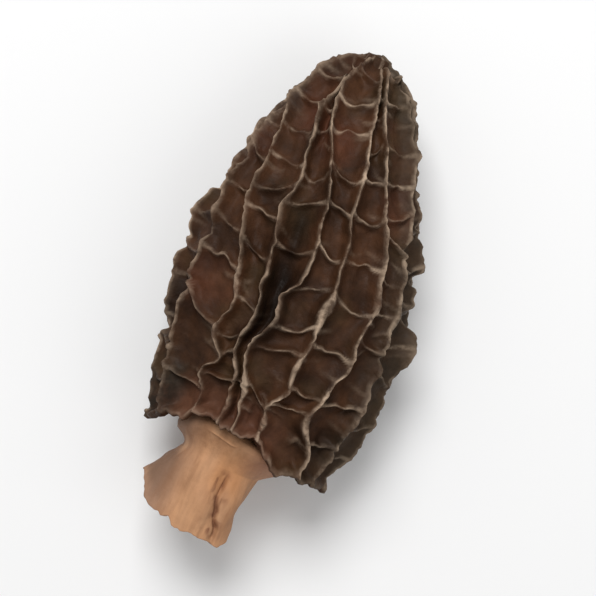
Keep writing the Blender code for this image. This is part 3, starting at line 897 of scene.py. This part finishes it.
def cap_inside(angle, margin):
    """A column's points from the margin's rim up the underside, through the opening and up the hollow."""
    toward = np.array([math.cos(angle), 0, math.sin(angle)])
    opening = np.array([OPENING_MIDDLE[0] + OPENING_HALF[0] * toward[0], 0, OPENING_HALF[1] * toward[2]])
    rim = margin - toward * RIM_THICK
    start = rim + (0, RIM_RISE, 0)
    low, high = (opening + (0, height, 0) for height in OPENING_HEIGHTS)
    under = [margin * 0.5 + rim * 0.5 - (0, RIM_SAG, 0), start]
    under += [start * (1 - t) + low * t for t in UNDERSIDE_SHARES]
    lengths = np.linspace(CAVITY_BASE, CAVITY_TOP, CAVITY_ROWS)
    hollow = cap_skin(np.full(CAVITY_ROWS, angle), lengths, RIDGE_HEIGHT + WALL)
    hollow[-1] = cap_skin(0.0, CAVITY_TOP, FULL_INSET)
    return np.array([*under, low, high, *hollow])


def cap_stains(angle, along):
    """How reddish, how sooty and how olive each point of the cap's skin is."""
    around = np.degrees(angle) % 360
    ruddy = (1 - ramp(along, *RUDDY[0])) * between(around, *RUDDY[1:])
    sooty = (1 - ramp(along, *SOOTY[0])) * between(around, *SOOTY[1:])
    olive = (1 - ramp(around, *OLIVE[0])) + ramp(around, *OLIVE[1])
    return {"ruddy": ruddy, "sooty": sooty, "olive": olive}


def cap_columns():
    """Every column of the cap's skin, from tip to margin and up the hollow, and its points' marks."""
    columns, marks = [], {"crest": [], "height": [], "ruddy": [], "sooty": [], "deep": [], "olive": []}
    side = np.linspace(0, 1, CAP_COLUMNS_EACH, endpoint=False)
    near, far = 0.5 * (2 * side) ** COLUMN_CROWDING, 1 - 0.5 * (2 - 2 * side) ** COLUMN_CROWDING
    shares = np.where(side < 0.5, near, far)
    near_first = 1 - ramp(shares, 0, SHARED_ROWS)[:, None]
    near_second = ramp(shares, 1 - SHARED_ROWS, 1)[:, None]
    for channel in range(RIDGE_COUNT):
        first, last = channel_rows(channel, (0.0, 1.0))
        before = (channel_rows((channel - 1) % RIDGE_COUNT, (1.0,))[0] + first) / 2
        after = (channel_rows((channel + 1) % RIDGE_COUNT, (0.0,))[0] + last) / 2
        along = channel_rows(channel, shares) * (1 - near_first - near_second)
        along = along + before * near_first + after * near_second
        angle, height, shift, crest = channel_relief(channel, shares[:, None] + 0 * along, along)
        height, deep = deepened(angle, along, height)
        skin = cap_surface(angle, along, height, shift, (4 * shares * (1 - shares))[:, None])
        found = cap_stains(angle, along)
        # the deep mark carries the painted shade of the deepest pits
        found |= {"crest": crest, "deep": np.clip(deep, 0, 1)}
        found["height"] = np.clip(height / RIDGE_HEIGHT, 0, 1)
        for number in range(len(shares)):
            outer = skin[number][::-1].copy()
            outer[0] = cap_skin(0.0, SIDE_LENGTH) - (0, (1 - TIP_SHARE) * RIDGE_HEIGHT, 0)
            inside = cap_inside(angle[number][0], outer[-1])
            columns.append(np.concatenate([outer, inside]))
            for mark, values in found.items():
                marks[mark].append(np.concatenate([values[number][::-1], np.zeros(len(inside))]))
    return columns, marks


# ---- the stem's mesh


def stem_outline(angle, share):
    """Points on the stem's outside, from its neck (share 0) to its lip (share 1), and how stained it is."""
    height, wide, deep, middle = NECK
    toward = np.stack([np.cos(angle), 0 * angle, np.sin(angle)], axis=-1)
    neck = np.stack([middle + wide * np.cos(angle), height + 0 * angle, deep * np.sin(angle)], axis=-1)
    lip = round_table(LIP, angle)
    lip[..., 1] += LIP_TEAR * sum(tear * lumps(lip, patch) for patch, tear in LIP_TEARS.items())
    line = neck * (1 - share)[..., None] + lip * share[..., None]
    swell = FLUTE_DEPTH * share * np.sin(FLUTES * angle + FLUTE_TURN)
    waist = WAIST_DEPTH * np.clip(np.cos(angle), 0, 1) * bump(share, WAIST_SHARE, WAIST_REACH)
    crumple = sum(depth * lumps(line, patch) for patch, depth in STEM_CRUMPLES.items())
    crumple = crumple * ramp(share, *CRUMPLED_FROM) + LIP_SWELL * share**2 * lumps(lip, "lip swell")

    beside = np.degrees(angle) - CREASE_ANGLE + CREASE_TURN * share
    crease = bump(beside, 0, CREASE_WIDTH) * np.sin(np.pi * np.minimum(1.0, CREASE_START + share))
    aside, turns, start = CREASE_WAVE
    edge = beside + aside * np.sin(turns * share + start) + CREASE_WANDER * lumps(line, "crease edge")
    ends = between(share, *CREASE_ENDS)
    cut = bump(edge, 0, CUT_WIDTH) * ends
    side = beside - SIDE_CREASE[0] + SIDE_CREASE[1] * share + SIDE_WANDER * lumps(line, "side crease")
    side = SIDE_SHARE * bump(side, 0, SIDE_WIDTH) * ends * ramp(lumps(line, "side crease gap"), *SIDE_GAPS)
    flap = (1 - ramp(edge, *FLAP_SPANS[0])) * ramp(edge, *FLAP_SPANS[1]) * ramp(share, *FLAP_SPANS[2])
    sunk = CREASE_DEPTH * crease + CUT_DEPTH * cut + SIDE_DEPTH * side
    raised = swell - waist - sunk + FLAP_HEIGHT * flap + crumple

    stain = STAIN_LEAST + (1 - STAIN_LEAST) * ramp(lumps(line, "stain"), *STAIN_SPAN)
    blotch = ramp(lumps(line, "blotch"), *BLOTCH_SPAN) * bump(beside, *BLOTCH_BAND) * ends
    along_crease, along_cut, blotched = STAIN_SHARES
    stained = (along_crease * crease + along_cut * cut + side) * stain + blotched * blotch
    return line + toward * raised[..., None], np.clip(stained, 0, 1)


def bend_between(start, end, toward, share):
    """A point of the hollow curve under the flange, from its edge to the neck."""
    hollow = WEB_BOW * WEB_HOLLOW * (1 - WEB_LEAN * toward[0])
    middle = start * (1 - WEB_SHARE) + end * WEB_SHARE - toward * hollow
    return start * (1 - share) ** 2 + middle * 2 * share * (1 - share) + end * share**2


def stem_column(angle):
    """A column down the tube, along the flange, down to the lip and up the bore; and its points' marks."""
    degrees, toward = math.degrees(angle), np.array([math.cos(angle), 0, math.sin(angle)])
    tube = np.array([OPENING_MIDDLE[0] + TUBE_HALF[0] * toward[0], 0, TUBE_HALF[1] * toward[2]])
    seat = tube + (0, OPENING_HEIGHTS[0] - FLANGE_DROP - FLANGE_GAP, 0)
    reach, lift = round_table(FLANGE_REACH, angle)[0], round_table(MARGIN_LIFT, angle)[0]
    rise = FLANGE_RISE[0] + FLANGE_RISE[1] * lift
    edge = np.array([NECK[3] + reach * toward[0], rise, reach * toward[2]])
    flange = np.array([tube + (0, STEM_TOP, 0), seat, (seat + edge) / 2, edge])

    shares = np.linspace(0, 1, STEM_ROWS)
    outside, stained = stem_outline(np.full_like(shares, angle), shares)
    under = edge - toward * FLANGE_TUCK - (0, FLANGE_THICK, 0)
    web_shares = np.linspace(0, 1, SLOPE_ROWS)[:-1]
    web = np.array([bend_between(under, outside[0], toward, share) for share in web_shares])
    fold = bump(web_shares, FOLD_SHARE + FOLD_WAVE[0] * math.sin(FOLD_WAVE[1] * angle), FOLD_HALF)
    fold = fold * between(degrees, *FOLD_SPANS)
    web += (toward - (0, FOLD_FALL, 0)) * (SKIRT_FOLD * fold)[:, None]

    bore_shares = np.linspace(1, 0, BORE_ROWS)
    bore = stem_outline(np.full_like(bore_shares, angle), bore_shares)[0] - toward * STEM_WALL
    top = np.array([tube - toward * STEM_WALL + (0, height, 0) for height in (BORE_FOOT, STEM_TOP)])

    sideways = ramp(toward[0], *WEB_SIDE[0]) * ramp(toward[2], *WEB_SIDE[1])
    shaded = between(degrees, *SHADED[:2]) * between(shares, *SHADED[2:])
    warm = between(degrees, *WARM[:2])
    found = {
        "crease": (0, 0, stained),
        "web": (sideways, (1 - web_shares) ** WEB_POWER * sideways, 0),
        "shaded": (0, 0, shaded),
        "warm": (0, warm * web_shares, warm * (1 - ramp(shares, *WARM[2]))),
        "fold": (0, fold, 0),
    }
    parts = (flange, web, outside, bore, top)
    marks = {}
    for mark, values in found.items():
        each = zip(parts, (*values, 0, 0))
        marks[mark] = np.concatenate([np.zeros(len(part)) + value for part, value in each])
    return np.concatenate(parts), marks


def stem_columns():
    """Every column of the stem, and its points' marks."""
    angles = np.linspace(0, 2 * math.pi, STEM_COLUMNS, endpoint=False)
    columns, marks = zip(*(stem_column(angle) for angle in angles))
    return columns, {mark: [values[mark] for values in marks] for mark in marks[0]}


# ---- pieces


def place(point):
    """A point of the cap's frame in metres, in the frame of the whole mushroom."""
    return ((point[0] - MIDDLE[0]) * MM, (point[1] - MIDDLE[1]) * MM, (point[2] + REST_DEPTH) * MM)


def wrapped_grid(name, columns, marks, closed_ends):
    """A closed piece from a grid wrapped round its columns of points, with marks kept on its vertices."""
    across, down = len(columns), len(columns[0])
    rows = down if closed_ends else down - 1
    mesh = bmesh.new()
    bmesh.ops.create_grid(mesh, x_segments=across, y_segments=rows, size=0.5)
    layers = {mark: mesh.verts.layers.float.new(mark) for mark in marks}
    for vertex in mesh.verts:
        column = round((vertex.co.x + 0.5) * across) % across
        row = round((vertex.co.y + 0.5) * rows) % down
        vertex.co = place(columns[column][row])
        for mark, layer in layers.items():
            vertex[layer] = float(marks[mark][column][row])
    bmesh.ops.remove_doubles(mesh, verts=mesh.verts, dist=MERGE_REACH)
    bmesh.ops.recalc_face_normals(mesh, faces=mesh.faces)
    data = bpy.data.meshes.new(name)
    mesh.to_mesh(data)
    mesh.free()
    data.shade_smooth()
    made = bpy.data.objects.new(name, data)
    bpy.context.scene.collection.objects.link(made)
    return made


def material(name):
    """A new node material with its finish: its tree and its shader."""
    made = bpy.data.materials.new(name)
    made.use_nodes = True
    shader = made.node_tree.nodes["Principled BSDF"]
    roughness, shine = FINISHES[name]
    shader.inputs["Roughness"].default_value = roughness
    shader.inputs["Specular IOR Level"].default_value = shine
    return made, made.node_tree, shader


def light_share(level):
    """The share of full light that a screen value from 0 to 255 stands for."""
    share = level / 255
    return ((share + 0.055) / 1.055) ** 2.4 if level > 10 else share / 12.92


def paint(levels):
    """A colour in screen values, as a shader takes it."""
    return (*(light_share(level) for level in levels), 1)


def feed(tree, node, slot, value):
    """A value put into a slot of a node. It may be a socket or a plain number or colour."""
    if isinstance(value, bpy.types.NodeSocket):
        tree.links.new(value, node.inputs[slot])
    else:
        node.inputs[slot].default_value = value


def add_node(tree, kind, inputs, **settings):
    """A new node with its settings and its inputs."""
    node = tree.nodes.new(kind)
    for key, value in settings.items():
        setattr(node, key, value)
    for slot, value in inputs.items():
        feed(tree, node, slot, value)
    return node


def pattern(tree, where, name):
    """One of PATTERNS on the piece's own coordinates."""
    scale, layers, strength = PATTERNS[name]
    inputs = {"Vector": where, "Scale": scale, "Detail": layers, "Roughness": strength}
    return add_node(tree, "ShaderNodeTexNoise", inputs).outputs["Fac"]


def drawn_out(tree, value, name):
    """A value drawn out and clamped as one of SPREADS says."""
    low, high, least, most = SPREADS[name]
    inputs = {"Value": value, "From Min": low, "From Max": high, "To Min": least, "To Max": most}
    return add_node(tree, "ShaderNodeMapRange", inputs).outputs["Result"]


def drawn_pattern(tree, where, name):
    """One of PATTERNS, drawn out."""
    return drawn_out(tree, pattern(tree, where, name), name)


def mixed(tree, share, first, second, blend="MIX"):
    """Two colours mixed by a share."""
    inputs = {0: share, 6: first, 7: second}
    return add_node(tree, "ShaderNodeMix", inputs, data_type="RGBA", blend_type=blend).outputs[2]


def painted(tree, colour, share, name):
    """A colour painted over by a share with one of COLOURS."""
    return mixed(tree, share, colour, paint(COLOURS[name]))


def product(tree, first, second):
    """Two values multiplied."""
    return add_node(tree, "ShaderNodeMath", {0: first, 1: second}, operation="MULTIPLY").outputs[0]


def mark_kept(tree, mark):
    """A mark kept on the piece's vertices."""
    return add_node(tree, "ShaderNodeAttribute", {}, attribute_name=mark).outputs["Fac"]


def stained(tree, colour, mark):
    """A colour stained where a mark is."""
    strength, stain = STAINS[mark]
    return mixed(tree, product(tree, mark_kept(tree, mark), strength), colour, paint(stain))


def fine_relief(tree, height, name, normal=None):
    """Relief too fine for the mesh, over any that is there already."""
    strength, depth = RELIEFS[name]
    inputs = {"Height": height, "Strength": strength, "Distance": depth}
    if normal is not None:
        inputs["Normal"] = normal
    return add_node(tree, "ShaderNodeBump", inputs).outputs["Normal"]


def cap_skin_material():
    """Dark leathery pits, a little lighter up their walls, broken pale lines along the crests, and painted
    shade in the deepest pits.
    """
    made, tree, shader = material("dried cap skin")
    where = add_node(tree, "ShaderNodeTexCoord", {}).outputs["Object"]
    tone = drawn_pattern(tree, where, "cap tone")
    colour = painted(tree, paint(COLOURS["dark pit"]), tone, "brown pit")
    for patches in ("olive patches", "russet patches"):
        colour = painted(tree, colour, drawn_pattern(tree, where, patches), patches)
    wall = drawn_out(tree, mark_kept(tree, "height"), "ridge wall")
    colour = stained(tree, painted(tree, colour, wall, "ridge wall"), "ruddy")
    wrinkles = pattern(tree, where, "wrinkles")
    crest = product(tree, mark_kept(tree, "crest"), drawn_out(tree, wrinkles, "wrinkles"))
    colour = stained(tree, painted(tree, colour, crest, "pale crest"), "olive")
    soot = product(tree, mark_kept(tree, "sooty"), drawn_pattern(tree, where, "soot"))
    # the deep mark paints shade, near black, into the deepest pits
    colour = stained(tree, painted(tree, colour, soot, "soot"), "deep")
    colour = mixed(tree, 1.0, colour, drawn_pattern(tree, where, "grain"), "MULTIPLY")
    leather = fine_relief(tree, pattern(tree, where, "leather"), "leather")
    tree.links.new(colour, shader.inputs["Base Color"])
    tree.links.new(fine_relief(tree, wrinkles, "wrinkles", leather), shader.inputs["Normal"])
    tree.links.new(drawn_pattern(tree, where, "sheen"), shader.inputs["Roughness"])
    return made


def stem_skin_material():
    """Pale tan dried flesh with painted shade on one side, darker creases and a few fibres."""
    made, tree, shader = material("dried stem skin")
    where = add_node(tree, "ShaderNodeTexCoord", {}).outputs["Object"]
    stretched = {"Vector": where, "Scale": FIBRE_STRETCH}
    along_stem = add_node(tree, "ShaderNodeMapping", stretched).outputs["Vector"]
    tone = drawn_pattern(tree, where, "stem tone")
    colour = painted(tree, paint(COLOURS["tan flesh"]), tone, "light flesh")
    across = add_node(tree, "ShaderNodeSeparateXYZ", {0: where}).outputs["X"]
    # painted shade: the stem greyer and darker towards its left side
    colour = painted(tree, colour, drawn_out(tree, across, "shaded side"), "shaded side")
    fibres = pattern(tree, along_stem, "fibres")
    colour = mixed(tree, 1.0, colour, drawn_out(tree, fibres, "fibres"), "MULTIPLY")
    for streaks in ("brown streaks", "pale streaks"):
        colour = painted(tree, colour, drawn_pattern(tree, along_stem, streaks), streaks)
    for mark in ("warm", "shaded", "fold", "crease", "web"):
        colour = stained(tree, colour, mark)
    soft = fine_relief(tree, fibres, "fibres")
    tree.links.new(colour, shader.inputs["Base Color"])
    tree.links.new(fine_relief(tree, pattern(tree, where, "grain"), "grain", soft), shader.inputs["Normal"])
    return made


def dress():
    """The two pieces of the mushroom, each in place of its plain solid."""
    cap = wrapped_grid("cap_skin", *cap_columns(), closed_ends=False)
    cap.data.materials.append(cap_skin_material())
    stem = wrapped_grid("stem_skin", *stem_columns(), closed_ends=True)
    stem.data.materials.append(stem_skin_material())
    for piece, node in ((cap, "cap"), (stem, "stem")):
        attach(piece, "root")
        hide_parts(node)


# ---- the setting


def area_light(name):
    """One of LIGHTS: a soft square light aimed at the mushroom."""
    where, width, power = LIGHTS[name]
    lamp = bpy.data.lights.new(name, "AREA")
    lamp.size = width
    lamp.energy = power
    made = bpy.data.objects.new(name, lamp)
    made.location = where
    made.rotation_mode = "QUATERNION"
    made.rotation_quaternion = (-made.location).to_track_quat("-Z", "Y")
    bpy.context.scene.collection.objects.link(made)


def setting():
    """A pale floor, soft light and a camera that looks straight down."""
    mesh = bmesh.new()
    bmesh.ops.create_grid(mesh, x_segments=1, y_segments=1, size=FLOOR_HALF)
    data = bpy.data.meshes.new("floor")
    mesh.to_mesh(data)
    mesh.free()
    floor = bpy.data.objects.new("floor", data)
    floor.location.z = -FLOOR_DROP
    bpy.context.scene.collection.objects.link(floor)
    made, _, shader = material("pale floor")
    shader.inputs["Base Color"].default_value = FLOOR_COLOUR
    data.materials.append(made)

    for name in LIGHTS:
        area_light(name)
    world = bpy.data.worlds.new("studio")
    world.use_nodes = True
    sky = world.node_tree.nodes["Background"]
    sky.inputs["Color"].default_value = SKY_COLOUR
    sky.inputs["Strength"].default_value = SKY_STRENGTH
    bpy.context.scene.world = world
    bpy.context.scene.view_settings.view_transform = "Standard"

    lens = bpy.data.cameras.new("camera")
    lens.lens = LENS
    lens.clip_start, lens.clip_end = NEAREST, FARTHEST
    camera = bpy.data.objects.new("camera", lens)
    camera.location.z = CAMERA_HEIGHT
    camera.rotation_euler.z = math.radians(CAMERA_TURN)
    bpy.context.scene.collection.objects.link(camera)
    bpy.context.scene.camera = camera


dress()
setting()
